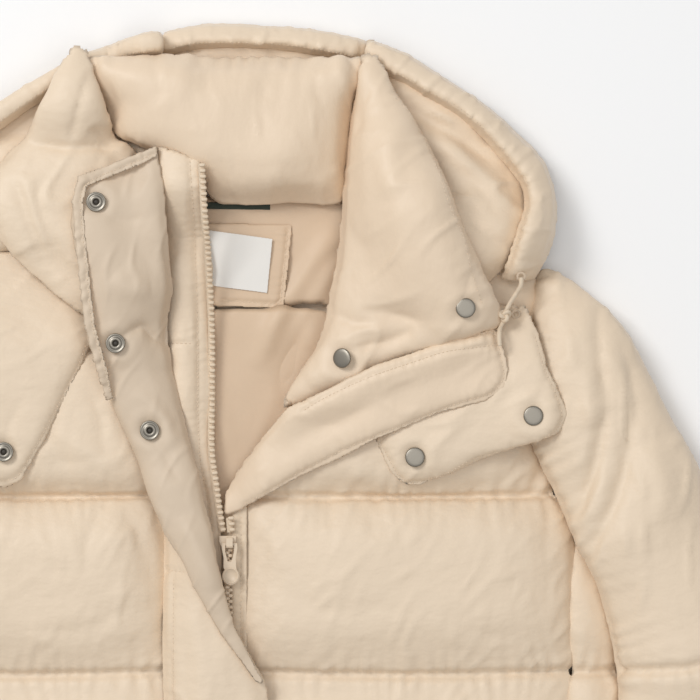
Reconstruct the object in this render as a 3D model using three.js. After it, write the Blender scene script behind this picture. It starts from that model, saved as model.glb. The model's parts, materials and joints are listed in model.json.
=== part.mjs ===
// Hooded down jacket, laid open on its back, in millimetres with +Z up.
// The origin is on the floor, below the point where the front zip parts. +Y runs to the hood, and the
// wearer's left side is at +X. Panels are padded cloth: each lies on what was laid down before it.
import * as THREE from 'three';

// Driving sizes
const HALF_CHEST = 296;      // zip line to side seam, at the widest
const BAFFLE = 133;          // from one quilting seam to the next
const FIRST_SEAM = 20;       // y of the seam across the chest
const HEM = FIRST_SEAM - 3.9 * BAFFLE;
const SIDE_SEAM = 260;       // x of the seam between front and side panel
const FLAP_SEAM = -49;       // x of the seam that carries the storm flap
const FLAP_EDGE = 33;        // x of the storm flap's free edge where it is closed
const CLOTH = 1.6;           // thickness of two layers of unpadded shell cloth
const CLEAR = 0.6;           // room left between one layer and the next
const SNAP_RADIUS = 7.4;
const CORD_RADIUS = 1.75;
const CELL = 2;              // pitch of the height map that records what has been laid down

const finish = (colour, roughness, metalness = 0) => ({ color: colour, roughness, metalness });
const SHELL = finish('#e3d2b8', 0.55);
const SHADE = finish('#cdbb9f', 0.6);
const LINING = finish('#e2ceb2', 0.5);
const PLASTIC = finish('#d8c8ad', 0.4);
const STEEL = finish('#a9a49a', 0.3, 0.9);
const GREEN = finish('#3c4438', 0.8);
const WHITE = finish('#d9d6d0', 0.7);
const CORDAGE = finish('#dccbb0', 0.8);

const jacket = new THREE.Group();

function add(name, geometry, look) {
  const mesh = new THREE.Mesh(geometry, new THREE.MeshStandardMaterial(look));
  mesh.name = name;
  jacket.add(mesh);
  return mesh;
}

// Height map: the top of everything laid down so far, so that the next panel can lie on it.
const reachX = 500;
const reachY = 560;
const columns = Math.ceil((2 * reachX) / CELL);
const lines = Math.ceil((2 * reachY) / CELL);
const laid = new Float32Array(columns * lines);
const columnOf = (x) => Math.round((x + reachX) / CELL);
const lineOf = (y) => Math.round((y + reachY) / CELL);

function topNear(x, y, radius) {
  const steps = Math.ceil(radius / CELL);
  let top = 0;
  for (let i = -steps; i <= steps; i += 1) {
    for (let j = -steps; j <= steps; j += 1) {
      if (Math.hypot(i, j) <= steps + 0.5) {
        top = Math.max(top, laid[(lineOf(y) + j) * columns + columnOf(x) + i]);
      }
    }
  }
  return top;
}

// The highest point laid down below one four-cornered cell of a new panel.
function topUnder([a, b, c, d], radius = CELL) {
  const size = Math.max(Math.hypot(a.x - d.x, a.y - d.y), Math.hypot(b.x - c.x, b.y - c.y));
  const steps = Math.ceil(size / (2 * CELL));
  let top = 0;
  for (let i = 0; i <= steps; i += 1) {
    for (let j = 0; j <= steps; j += 1) {
      const [u, v] = [i / steps, j / steps];
      const mix = (axis) => (1 - v) * ((1 - u) * a[axis] + u * b[axis]) + v * ((1 - u) * c[axis] + u * d[axis]);
      top = Math.max(top, topNear(mix('x'), mix('y'), radius));
    }
  }
  return top;
}

// How far a panel with these underside heights can sink before it meets what lies below it.
function settleBy(plan, under) {
  let spare = Infinity;
  const samples = 6;
  for (let i = 0; i < plan.length - 1; i += 1) {
    for (let j = 0; j < plan[0].length - 1; j += 1) {
      for (let k = 0; k <= samples ** 2; k += 1) {
        const [u, v] = [(k % samples) / samples, Math.floor(k / samples) / samples];
        const mix = (value) => (1 - v) * ((1 - u) * value(i, j) + u * value(i, j + 1))
          + v * ((1 - u) * value(i + 1, j) + u * value(i + 1, j + 1));
        const top = topNear(mix((r, c) => plan[r][c].x), mix((r, c) => plan[r][c].y), 0);
        if (top > 0) spare = Math.min(spare, mix((r, c) => under[r][c]) - top);
      }
    }
  }
  return Number.isFinite(spare) ? Math.max(0, spare) : 0;
}

function layDown(triangle) {
  const plane = new THREE.Plane().setFromCoplanarPoints(...triangle);
  if (Math.abs(plane.normal.z) < 1e-3) return;
  const flat = new THREE.Triangle(...triangle.map((p) => new THREE.Vector3(p.x, p.y, 0)));
  const box = new THREE.Box3().setFromPoints(triangle);
  const probe = new THREE.Vector3();
  for (let line = lineOf(box.min.y); line <= lineOf(box.max.y); line += 1) {
    for (let column = columnOf(box.min.x); column <= columnOf(box.max.x); column += 1) {
      probe.set(column * CELL - reachX, line * CELL - reachY, 0);
      if (!flat.containsPoint(probe)) continue;
      const z = -(plane.normal.x * probe.x + plane.normal.y * probe.y + plane.constant) / plane.normal.z;
      const cell = line * columns + column;
      laid[cell] = Math.max(laid[cell], z);
    }
  }
}

function recordTop(geometry) {
  const place = geometry.getAttribute('position');
  const index = geometry.getIndex();
  for (let i = 0; i < index.count; i += 3) {
    layDown([0, 1, 2].map((k) => new THREE.Vector3().fromBufferAttribute(place, index.getX(i + k))));
  }
}

// Turns a closed shape's faces outwards, whichever way its table runs.
function outward(position, index) {
  const corner = (k) => new THREE.Vector3().fromArray(position, 3 * index[k]);
  let volume = 0;
  for (let k = 0; k < index.length; k += 3) {
    volume += corner(k).dot(corner(k + 1).cross(corner(k + 2)));
  }
  if (volume < 0) {
    for (let k = 0; k < index.length; k += 3) [index[k + 1], index[k + 2]] = [index[k + 2], index[k + 1]];
  }
  const geometry = new THREE.BufferGeometry();
  geometry.setAttribute('position', new THREE.Float32BufferAttribute(position, 3));
  geometry.setIndex(index);
  return geometry;
}

// Rows of a closed grid: `lower` and `upper` are (rows x columns) grids of points that share outlines.
function closedPad(lower, upper) {
  const rows = lower.length;
  const width = lower[0].length;
  const position = [...lower.flat(), ...upper.flat()].flatMap((p) => [p.x, p.y, p.z]);
  const low = (i, j) => i * width + j;
  const high = (i, j) => rows * width + low(i, j);
  const index = [];
  const quad = (a, b, c, d) => index.push(a, b, c, a, c, d);
  for (let i = 0; i < rows - 1; i += 1) {
    for (let j = 0; j < width - 1; j += 1) {
      quad(high(i, j), high(i, j + 1), high(i + 1, j + 1), high(i + 1, j));
      quad(low(i, j), low(i + 1, j), low(i + 1, j + 1), low(i, j + 1));
    }
    quad(high(i, 0), high(i + 1, 0), low(i + 1, 0), low(i, 0));
    quad(high(i, width - 1), low(i, width - 1), low(i + 1, width - 1), high(i + 1, width - 1));
  }
  for (let j = 0; j < width - 1; j += 1) {
    quad(high(0, j), low(0, j), low(0, j + 1), high(0, j + 1));
    quad(high(rows - 1, j), high(rows - 1, j + 1), low(rows - 1, j + 1), low(rows - 1, j));
  }
  return outward(position, index);
}

// Quilting: how far the filling is pinched flat at height y (1 = open, small = on a seam).
function loft(y) {
  const seam = FIRST_SEAM - BAFFLE * Math.round((FIRST_SEAM - y) / BAFFLE);
  return 1 - 0.72 * Math.exp(-(((y - seam) / 16) ** 2));
}

// A cloth panel from a table of sections. Each row is [left x, left y, right x, right y, filling];
// smooth edges run through the left and the right points, and the filling swells between them.
function panel(name, look, table, options = {}) {
  const { across = 6, split = 1, rim = CLOTH, quilted = false, ends = 1, slope = 0.9 } = options;
  const left = new THREE.CatmullRomCurve3(table.map((r) => new THREE.Vector3(r[0], r[1], r[4])), false, 'centripetal');
  const right = new THREE.CatmullRomCurve3(table.map((r) => new THREE.Vector3(r[2], r[3], 0)), false, 'centripetal');
  const rows = (table.length - 1) * split;
  const plan = [];
  for (let i = 0; i <= rows; i += 1) {
    const from = left.getPoint(i / rows);
    const to = right.getPoint(i / rows);
    const endFall = 1 - ends * Math.abs((2 * i) / rows - 1) ** 8;
    plan.push(Array.from({ length: across + 1 }, (_, j) => {
      const share = (1 - Math.cos((Math.PI * j) / across)) / 2;
      const swell = Math.sqrt(1 - (2 * share - 1) ** 4) * Math.sqrt(Math.max(0, endFall));
      const spot = new THREE.Vector3().lerpVectors(from, to, share);
      const filling = from.z * swell * (quilted ? loft(spot.y) : 1);
      return { x: spot.x, y: spot.y, thick: rim + Math.max(0, filling) };
    }));
  }
  const under = plan.map((row) => row.map(() => 0));
  for (let i = 0; i < rows; i += 1) {
    for (let j = 0; j < across; j += 1) {
      const top = topUnder([plan[i][j], plan[i][j + 1], plan[i + 1][j], plan[i + 1][j + 1]]);
      [[i, j], [i, j + 1], [i + 1, j], [i + 1, j + 1]].forEach(([r, c]) => {
        under[r][c] = Math.max(under[r][c], top);
      });
    }
  }
  // A layer that steps down from an edge hangs over it in a slope, so low spots near high ones are raised.
  for (let pass = 0; pass < 3; pass += 1) {
    plan.forEach((row, i) => row.forEach((p, j) => {
      [[1, 0], [-1, 0], [0, 1], [0, -1]].forEach(([di, dj]) => {
        const near = plan[i + di]?.[j + dj];
        if (!near) return;
        const run = Math.hypot(near.x - p.x, near.y - p.y);
        under[i][j] = Math.max(under[i][j], under[i + di][j + dj] - slope * run - 1);
      });
    }));
  }
  const spare = settleBy(plan, under);
  const base = (i, j) => (under[i][j] > 0 ? Math.max(0, under[i][j] - spare + CLEAR) : 0);
  const lower = plan.map((row, i) => row.map((p, j) => new THREE.Vector3(p.x, p.y, base(i, j))));
  const upper = plan.map((row, i) => row.map((p, j) => new THREE.Vector3(p.x, p.y, base(i, j) + p.thick)));
  const geometry = closedPad(lower, upper);
  recordTop(geometry);
  return add(name, geometry, look);
}

const mirrored = (table) => table.map(([lx, ly, rx, ry, ...rest]) => [-rx, ry, -lx, ly, ...rest]);

// Body: back, lining, fronts and side panels. Columns: left x, left y, right x, right y, filling.
const BACK = [
  [-290, HEM, 290, HEM, 12],
  [-HALF_CHEST, -381, HALF_CHEST, -381, 15],
  [-HALF_CHEST, -247, HALF_CHEST, -247, 15],
  [-291, -114, 291, -114, 15],
  [-281, -62, 281, -62, 15],
  [-272, -36, 272, -36, 15],
  [-242, 20, 242, 20, 15],
  [-225, 100, 225, 100, 15],
  [-230, 182, 230, 182, 12],
  [-160, 218, 160, 218, 12],
  [-96, 246, 96, 246, 8],
];
const NECK_LINING = [
  [-60, 244, 92, 244, 1],
  [-60, 216, 92, 216, 1],
  [-50, 175, 90, 175, 1],
  [-44, 145, 88, 145, 1],
  [-40, 92, 64, 92, 1],
  [-34, 55, 40, 55, 1],
  [-28, 12, 24, 12, 1],
];
const FRONT_RIGHT = [
  [5, HEM, SIDE_SEAM - 1, HEM, 18],
  [5, -381, SIDE_SEAM - 1, -381, 24],
  [5, -247, SIDE_SEAM - 1, -247, 24],
  [5, -114, SIDE_SEAM - 1, -114, 24],
  [6, -45, SIDE_SEAM - 1, -45, 24],
  [10, -9, SIDE_SEAM - 2, -12, 24],
  [20, 20, 246, 22, 22],
  [36, 60, 229, 58, 22],
  [58, 100, 225, 100, 20],
  [80, 145, 226, 145, 18],
  [92, 185, 230, 182, 14],
  [96, 215, 158, 216, 8],
];
const FRONT_LEFT = [
  [1 - SIDE_SEAM, HEM, FLAP_SEAM - 1, HEM, 18],
  [1 - SIDE_SEAM, -381, FLAP_SEAM - 1, -381, 24],
  [1 - SIDE_SEAM, -247, FLAP_SEAM - 1, -247, 24],
  [1 - SIDE_SEAM, -114, FLAP_SEAM - 1, -114, 24],
  [1 - SIDE_SEAM, -45, FLAP_SEAM - 1, -45, 24],
  [2 - SIDE_SEAM, -12, FLAP_SEAM - 1, -9, 24],
  [-246, 22, FLAP_SEAM - 1, 20, 22],
  [-229, 58, FLAP_SEAM, 60, 22],
  [-225, 100, -52, 100, 20],
  [-226, 145, -56, 145, 18],
  [-230, 182, -60, 185, 14],
  [-158, 216, -66, 215, 8],
];
const SIDE = [
  [SIDE_SEAM - 0.3, HEM, 290, HEM, 12],
  [SIDE_SEAM - 0.3, -381, HALF_CHEST, -381, 16],
  [SIDE_SEAM - 0.3, -247, HALF_CHEST, -247, 16],
  [SIDE_SEAM - 0.3, -132, 295, -132, 16],
  [SIDE_SEAM - 0.3, -90, 289, -90, 15],
  [SIDE_SEAM - 0.3, -60, 282, -60, 13],
  [SIDE_SEAM - 0.3, -34, 272, -34, 9],
  [SIDE_SEAM - 0.3, -14, 262.5, -14, 4],
];
panel('back_panel', SHELL, BACK, { across: 10, split: 2, quilted: true });
panel('neck_lining', LINING, NECK_LINING, { across: 6, ends: 0 });
// Back of the neck: facing, bare label and hanging loop.
const NECK_FACING = [
  [-34, 226, 47, 224, 0],
  [-34, 190, 44, 190, 0],
  [-34, 165, 41, 162, 0],
];
const LABEL = [
  [-17, 221, 33, 214, 0],
  [-17, 179, 29, 173, 0],
];
const LOOP = [
  [-24, 242, 31, 241, 0],
  [-24, 237, 31, 236, 0],
];
panel('neck_facing', LINING, NECK_FACING, { across: 2, rim: 1.2, ends: 0 });
panel('neck_label', WHITE, LABEL, { across: 2, rim: 0.8, ends: 0 });
panel('hanging_loop', GREEN, LOOP, { across: 2, rim: 1, ends: 0 });
panel('front_right', SHELL, FRONT_RIGHT, { across: 8, split: 2, quilted: true });
panel('front_left', SHELL, FRONT_LEFT, { across: 8, split: 2, quilted: true });
panel('side_panel_right', SHELL, SIDE, { across: 4, split: 2, quilted: true });
panel('side_panel_left', SHELL, mirrored(SIDE), { across: 4, split: 2, quilted: true });

// Woven tape below the closed zip. Columns as above.
const ZIP_TAPE = [
  [-5, 12, 13, 12, 0],
  [-5, -12, 13, -12, 0],
  [-5, -45, 13, -45, 0],
  [-5, -114, 13, -114, 0],
  [-5, -247, 13, -247, 0],
  [-5, -381, 13, -381, 0],
  [-5, HEM + 8, 13, HEM + 8, 0],
];
panel('zip_tape', SHELL, ZIP_TAPE, { across: 2, ends: 0 });

// Sleeves: flattened tubes, flat below. Columns: inner x, inner y, outer x, outer y, thickness.
const SLEEVE = [
  [236, 188, 256, 181, 20],
  [231, 160, 283, 158, 36],
  [227.2, 125, 306, 127, 46],
  [226.6, 95, 321, 97, 50],
  [230.6, 60, 338, 62, 52],
  [247, 25, 356, 28, 54],
  [261, -8, 374, -16, 56],
  [276, -36, 392, -60, 58],
  [284, -62, 402, -90, 58],
  [291.5, -94, 414, -124, 58],
  [297, -134, 424, -164, 54],
  [301, -210, 436, -236, 56],
  [307, -290, 442, -312, 50],
  [313, -360, 444, -378, 48],
  [319, -420, 438, -434, 34],
];
const SLEEVE_HOLLOW = 3;     // height of the flat hollow between a sleeve's two layers
const SLEEVE_WALL = 14;      // filling at the sleeve's folded edges
function sleeve(name, table) {
  const half = 5;
  const ring = (row, inner) => {
    const [x0, y0, x1, y1, thick] = row;
    const mid = thick * 0.45;
    const spread = new THREE.Vector2(x1 - x0, y1 - y0);
    const squeeze = inner ? 1 - (2 * SLEEVE_WALL * Math.min(1, spread.length() / 80)) / spread.length() : 1;
    const at = (across, z) => new THREE.Vector3(
      (x0 + x1) / 2 + (spread.x / 2) * across * squeeze,
      (y0 + y1) / 2 + (spread.y / 2) * across * squeeze,
      z,
    );
    const steps = Array.from({ length: half }, (_, k) => -0.84 + (1.68 * k) / (half - 1));
    const floorLine = steps.map((a) => at(a, inner ? mid - SLEEVE_HOLLOW / 2 : 0));
    const topLine = steps.toReversed().map((a) => {
      const arch = mid + (thick - mid) * Math.sqrt(1 - Math.abs(a) ** 2.6);
      return at(a, inner ? mid + SLEEVE_HOLLOW / 2 : arch);
    });
    return [at(-1, mid), ...floorLine, at(1, mid), ...topLine];
  };
  const edge = (column) => new THREE.CatmullRomCurve3(
    table.map((r) => new THREE.Vector3(r[column], r[column + 1], r[4])), false, 'centripetal');
  const inside = edge(0);
  const outside = edge(2);
  const sections = 2 * (table.length - 1);
  const rings = Array.from({ length: sections + 1 }, (_, i) => {
    const a = inside.getPoint(i / sections);
    const b = outside.getPoint(i / sections);
    return [a.x, a.y, b.x, b.y, a.z];
  });
  const shells = [rings.map((r) => ring(r, false)), rings.map((r) => ring(r, true))];
  const sides = shells[0][0].length;
  const position = shells.flat(2).flatMap((p) => [p.x, p.y, p.z]);
  const at = (shell, i, j) => (shell * (sections + 1) + i) * sides + (j % sides);
  const index = [];
  const quad = (a, b, c, d) => index.push(a, b, c, a, c, d);
  for (let j = 0; j < sides; j += 1) {
    for (let i = 0; i < sections; i += 1) {
      quad(at(0, i, j), at(0, i + 1, j), at(0, i + 1, j + 1), at(0, i, j + 1));
      quad(at(1, i, j), at(1, i, j + 1), at(1, i + 1, j + 1), at(1, i + 1, j));
    }
    quad(at(0, 0, j), at(0, 0, j + 1), at(1, 0, j + 1), at(1, 0, j));
    quad(at(0, sections, j), at(1, sections, j), at(1, sections, j + 1), at(0, sections, j + 1));
  }
  const geometry = outward(position, index);
  recordTop(geometry);
  add(name, geometry, SHELL);
}
sleeve('sleeve_right', SLEEVE);
sleeve('sleeve_left', SLEEVE.map(([a, b, c, d, thick]) => [-a, b, -c, d, thick]));

// Hood: inner panels and the drawcord channel round its rim. It lies behind the collar on the floor.
// Columns: left x, left y, right x, right y, filling.
const HOOD_BACK = [
  [-96, 252, -101, 344, 14],
  [-70, 250, -72, 353, 18],
  [-21, 250, -21, 364, 20],
  [39, 250, 39, 363, 20],
  [75, 250, 78, 356, 18],
  [93, 256, 100, 351, 14],
];
const HOOD_RIGHT = [
  [97, 300, 103, 351, 18],
  [101, 285, 131, 338, 26],
  [106, 265, 155, 325, 28],
  [114, 248, 177, 312, 30],
  [124, 230, 197, 295, 30],
  [136, 214, 214, 274, 30],
  [150, 200, 228, 254, 28],
  [166, 186, 227, 226, 24],
  [182, 172, 214, 202, 14],
];
const HOOD_LEFT = [
  [-103, 300, -104, 344, 18],
  [-108, 285, -135, 331, 26],
  [-114, 268, -173, 304, 28],
  [-122, 250, -205, 279, 28],
  [-134, 230, -224, 255, 28],
  [-150, 215, -232, 227, 24],
  [-166, 205, -227, 207, 16],
];
// Columns: inner x, inner y, outer x, outer y, filling.
const RIM_BACK = [
  [-49, 354, -49.5, 370, 16],
  [-21, 359, -21, 376.5, 17],
  [39, 358, 44, 375, 17],
  [91, 350, 94, 367, 16],
  [102, 347, 104, 364.5, 16],
];
const RIM_RIGHT = [
  [103.4, 346.4, 105.6, 364, 16],
  [128, 334, 134, 353, 18],
  [150, 321, 155, 340, 20],
  [172, 309, 177, 325, 20],
  [190, 293, 200, 310, 22],
  [208, 272, 219, 292, 22],
  [221, 256, 238, 271, 22],
  [224, 240, 247, 240, 22],
  [219, 224, 245, 218, 20],
  [212, 203, 239, 200, 16],
  [205, 183, 231, 183, 10],
];
const RIM_LEFT = [
  [-50.2, 353.6, -50.8, 369.6, 16],
  [-76, 349, -77, 365, 18],
  [-104, 339, -106, 355, 18],
  [-131, 325, -137, 338, 20],
  [-171, 298, -171, 317.5, 20],
  [-200, 272, -210, 288, 20],
  [-217, 248, -236, 262, 20],
  [-226, 224, -250, 232, 18],
  [-223, 204, -248, 205, 16],
  [-214, 190, -238, 186, 8],
];
panel('hood_back', SHELL, HOOD_BACK, { across: 6 });
panel('hood_right', SHELL, HOOD_RIGHT, { across: 5, split: 2 });
panel('hood_left', SHELL, HOOD_LEFT, { across: 5, split: 2 });
panel('hood_rim_back', SHELL, RIM_BACK, { across: 3, split: 2, ends: 0 });
panel('hood_rim_right', SHELL, RIM_RIGHT, { across: 3, split: 2, ends: 0 });
panel('hood_rim_left', SHELL, RIM_LEFT, { across: 3, split: 2, ends: 0 });

// Hood tabs: the hood's two lower ends, each with a pair of snaps. The right one is snapped on the chest.
// Columns: left x, left y, right x, right y, filling.
const TAB_RIGHT = [
  [192, 163, 223, 163, 5],
  [178, 144, 232, 143, 8],
  [158, 120, 238, 118, 9],
  [134, 98, 249, 93, 9],
  [119, 79, 254, 83, 9],
  [112, 62, 247, 69, 9],
  [117, 50, 222, 60, 8],
  [122, 40, 185, 47, 6],
  [128, 33, 159, 37, 4],
  [137, 28, 145, 29, 2],
];
const TAB_LEFT = [
  [-238, 200, -150, 203, 5],
  [-262, 175, -127, 179, 8],
  [-272, 150, -106, 158, 10],
  [-278, 128, -103, 136, 10],
  [-283, 106, -113, 113, 10],
  [-284, 90, -126, 87, 10],
  [-270, 72, -136, 67, 9],
  [-236, 55, -146, 49, 7],
  [-200, 38, -155, 33, 5],
  [-182, 28, -168, 27, 2],
];
panel('hood_tab_right', SHELL, TAB_RIGHT, { across: 6 });
panel('hood_tab_left', SHELL, TAB_LEFT, { across: 6 });

// Collar: its back lies inner face up, its left front rolls down to the flap, its right front turns out.
// Columns: left x, left y, right x, right y, filling.
const COLLAR_BACK = [
  [-105, 351, 103, 350, 8],
  [-100, 334, 98, 334, 26],
  [-92, 314, 91.5, 314, 32],
  [-84, 294, 88, 293, 34],
  [-52, 278, 87, 272, 32],
  [-19, 262, 86, 256, 28],
  [-12, 241, 84, 241, 10],
];
const COLLAR_LEFT = [
  [-114, 356, -108, 357, 3],
  [-126, 334, -103, 336, 12],
  [-139, 310, -94, 313, 16],
  [-152, 286, -86, 290, 16],
  [-176, 262, -60, 268, 18],
  [-184, 237, -55, 240, 18],
  [-170, 213, -52, 212, 18],
  [-150, 192, -52, 190, 14],
  [-128, 172, -54, 174, 12],
  [-108, 158, -60, 158, 6],
];
const COLLAR_RIGHT = [
  [105, 350, 109, 347, 4],
  [101, 334, 125, 320, 18],
  [95, 310, 139, 300, 26],
  [91.5, 284, 153, 275, 30],
  [89.5, 255, 163, 250, 32],
  [87.5, 228, 172, 224, 32],
  [84, 198, 185, 196, 30],
  [79, 170, 196, 170, 26],
  [75, 150, 202, 150, 22],
  [69, 132, 172, 141, 18],
  [57, 112, 128, 126, 14],
  [48, 98, 88, 108, 10],
  [41, 87, 60, 94, 4],
];
panel('collar_back', LINING, COLLAR_BACK, { across: 6 });
panel('collar_left', SHELL, COLLAR_LEFT, { across: 5 });
panel('collar_right', LINING, COLLAR_RIGHT, { across: 6 });

// Guard strip behind the zip, turned out with the right front. Columns: upper x, upper y, lower x, lower y.
const GUARD_STRIP = [
  [-3, 20, -2, 6, 1],
  [8, 40, 10, 11, 2],
  [24, 62, 26, 20, 3],
  [44, 86, 54, 36, 4],
  [68, 97, 84, 50, 4],
  [113, 119, 111, 64, 5],
  [159, 135, 159, 84, 5],
  [188, 143, 192, 93, 5],
  [198, 146, 206, 101, 4],
  [203, 143, 209, 116, 2],
];
panel('guard_strip', LINING, GUARD_STRIP, { across: 4 });

// Left front edge: the strip that carries the zip, then the storm flap over it.
// Columns: left x, left y, right x, right y, filling.
const ZIP_STRIP = [
  [-51, 281, -20, 271, 2],
  [-49, 254, -18, 254, 4],
  [-45, 216, -16, 216, 5],
  [-43, 175, -14, 175, 5],
  [-45, 130, -13, 130, 5],
  [-40, 92, -12, 92, 5],
  [-32, 55, -12, 55, 5],
  [-24, 20, -8, 20, 4],
  [-40, -20, -6, -20, 3],
  [-46, -114, -6, -114, 3],
  [-46, -247, -6, -247, 3],
  [-46, -381, -6, -381, 3],
  [-46, HEM + 4, -6, HEM + 4, 3],
];
const FLAP_LOWER = [
  [-47, 78, -35, 78, 1],
  [-48, 44, -28, 44, 3],
  [FLAP_SEAM, -5, -14, -5, 6],
  [FLAP_SEAM, -31, -10, -31, 8],
  [FLAP_SEAM, -78, 3, -78, 9],
  [FLAP_SEAM, -118, 27, -118, 10],
  [FLAP_SEAM, -150, FLAP_EDGE, -150, 10],
  [FLAP_SEAM, -247, FLAP_EDGE, -247, 10],
  [FLAP_SEAM, -381, FLAP_EDGE, -381, 10],
  [FLAP_SEAM, HEM, FLAP_EDGE, HEM, 8],
];
const FLAP_OPEN = [
  [-109, 259, -53, 281, 2],
  [-114, 240, -49, 254, 8],
  [-112, 213, -45, 216, 11],
  [-108, 175, -43, 175, 12],
  [-105, 149, -46, 151, 11],
  [-96, 114, -44, 114, 11],
  [-80, 77, -33, 78, 11],
  [-65, 43, -26, 44, 10],
  [-47, -7, -12, -5, 9],
  [-32, -29, -9, -31, 8],
  [-7, -76, 4, -78, 4],
  [22, -119, 27, -119, 1],
];
const BINDING_WIDTH = 7;
const BINDING = [
  [-53, 281, -53, 281 - BINDING_WIDTH, 0],
  [-68, 275, -66, 275 - BINDING_WIDTH, 0],
  [-96, 264, -93, 264 - BINDING_WIDTH, 0],
  [-110, 259, -104, 252, 0],
  [-114, 240, -114 + BINDING_WIDTH, 240, 0],
  [-112, 213, -112 + BINDING_WIDTH, 213, 0],
  [-108, 175, -108 + BINDING_WIDTH, 175, 0],
  [-105, 149, -105 + BINDING_WIDTH, 148, 0],
  [-96, 114, -96 + BINDING_WIDTH, 114, 0],
  [-90, 93, -86, 95, 0],
];
const TEETH_LEFT = [
  [-21, 269, -15, 269, 1],
  [-19, 231, -13, 231, 1],
  [-17, 198, -11, 198, 1],
  [-15, 145, -9, 145, 1],
  [-15, 92, -9, 92, 1],
  [-15, 55, -9, 55, 1],
  [-12, 32, -6, 32, 1],
  [-9, 10, -3, 10, 1],
  [-6, -7, -1, -7, 1],
];
const TEETH_RIGHT = [
  [-1, 4, 5, 4, 1],
  [0, -7, 5, -7, 1],
];
const CHAIN = [
  [-4, -19.2, 5, -19.2, 1],
  [-4, -114, 5, -114, 1],
  [-4, -247, 5, -247, 1],
  [-4, -381, 5, -381, 1],
  [-4, HEM + 12, 5, HEM + 12, 1],
];
panel('zip_strip_left', SHELL, ZIP_STRIP, { across: 4 });
panel('zip_chain', PLASTIC, CHAIN, { across: 2, rim: 2, ends: 0 });
panel('zip_teeth_left', PLASTIC, TEETH_LEFT, { across: 2, rim: 2, ends: 0 });
panel('zip_teeth_right', PLASTIC, TEETH_RIGHT, { across: 2, rim: 2, ends: 0 });
panel('storm_flap_lower', SHELL, FLAP_LOWER, { across: 4 });
panel('storm_flap_open', SHADE, FLAP_OPEN, { across: 5 });
panel('flap_binding', SHADE, BINDING, { across: 2, rim: 1, ends: 0 });

// Snaps. Columns: name, x, y, tilt towards -X in degrees. A cap is a low dome; a socket is a ring with a pit.
const CAPS = [
  ['cap_collar_upper', 177, 161, 0],
  ['cap_collar_lower', 86, 124, 28],
  ['cap_tab_inner', 140, 50, 0],
  ['cap_tab_outer', 228, 81, 0],
];
const SOCKETS = [
  ['socket_flap_upper', -97, 240, 0],
  ['socket_flap_middle', -83, 135, 0],
  ['socket_flap_lower', -58, 70, 0],
  ['socket_tab_inner', -167, 54, 0],
  ['socket_tab_outer', -252, 88, 0],
];
const lathe = (profile, sides = 16) => {
  const shape = new THREE.LatheGeometry(profile.map(([r, z]) => new THREE.Vector2(r, z)), sides);
  return shape.rotateX(Math.PI / 2);
};
function seat(name, geometry, look, x, y, radius, tilt = 0) {
  const lean = THREE.MathUtils.degToRad(tilt);
  const mesh = add(name, geometry, look);
  mesh.rotation.y = -lean;
  const heights = Array.from({ length: 48 }, (_, k) => {
    const from = (radius * (1 + (k % 4))) / 4;
    const across = from * Math.cos(k);
    return topNear(x + across, y + from * Math.sin(k), 0) - across * Math.tan(lean);
  });
  mesh.position.set(x, y, Math.max(...heights) + CLEAR);
  mesh.updateMatrix();
  recordTop(geometry.clone().applyMatrix4(mesh.matrix));
}
const CAP_PROFILE = [[0, 0], [SNAP_RADIUS - 0.6, 0], [SNAP_RADIUS, 0.7], [SNAP_RADIUS - 0.9, 1.9], [4, 2.5], [0, 2.7]];
const SOCKET_PROFILE = [
  [0, 0], [SNAP_RADIUS - 0.4, 0], [SNAP_RADIUS, 0.8], [SNAP_RADIUS - 1.4, 1.8], [4.2, 2.6], [2.6, 2.2], [2.4, 0.8],
  [0, 0.8],
];
CAPS.forEach(([name, x, y, tilt]) => seat(name, lathe(CAP_PROFILE), STEEL, x, y, SNAP_RADIUS, tilt));
SOCKETS.forEach(([name, x, y, tilt]) => seat(name, lathe(SOCKET_PROFILE), STEEL, x, y, SNAP_RADIUS, tilt));

// Drawcord: out of the upper eyelet, through a knot, with its free end beside the lower eyelet.
const EYELETS = [
  ['eyelet_right_upper', 219.5, 185],
  ['eyelet_right_lower', 216, 157],
  ['eyelet_left', -228, 194],
];
const EYELET_PROFILE = [[1.9, 0], [3.8, 0], [3.6, 0.9], [2.6, 1.2], [1.9, 0.9], [1.9, 0]];
EYELETS.forEach(([name, x, y]) => seat(name, lathe(EYELET_PROFILE, 12), SHADE, x, y, 4));
const KNOT = { x: 206.8, y: 155.7, radius: 4.4 };
KNOT.z = topNear(KNOT.x, KNOT.y, KNOT.radius) + KNOT.radius + CLEAR - 0.4;
const CORD_PLAN = [[219.5, 184], [219, 178], [215.6, 172], [211.5, 166], [208.3, 160.1]];
const TAIL_PLAN = [[205.4, 150.6], [203.6, 147], [202.5, 141], [203, 133]];
const cordHeight = ([x, y]) => Math.max(
  topNear(x, y, 4) + CORD_RADIUS + CLEAR, KNOT.z - 0.45 * Math.hypot(x - KNOT.x, y - KNOT.y));
const tube = (plan) => {
  const route = new THREE.CatmullRomCurve3(plan.map((p) => new THREE.Vector3(p[0], p[1], cordHeight(p))));
  const round = new THREE.Shape(Array.from({ length: 8 }, (_, k) => new THREE.Vector2(
    CORD_RADIUS * Math.cos((k * Math.PI) / 4), CORD_RADIUS * Math.sin((k * Math.PI) / 4))));
  return new THREE.ExtrudeGeometry(round, { steps: 8, extrudePath: route });
};
add('drawcord_right', tube(CORD_PLAN), CORDAGE);
add('drawcord_end', tube(TAIL_PLAN), CORDAGE);
add('drawcord_knot', new THREE.SphereGeometry(KNOT.radius, 10, 6), CORDAGE).position.copy(KNOT);

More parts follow.
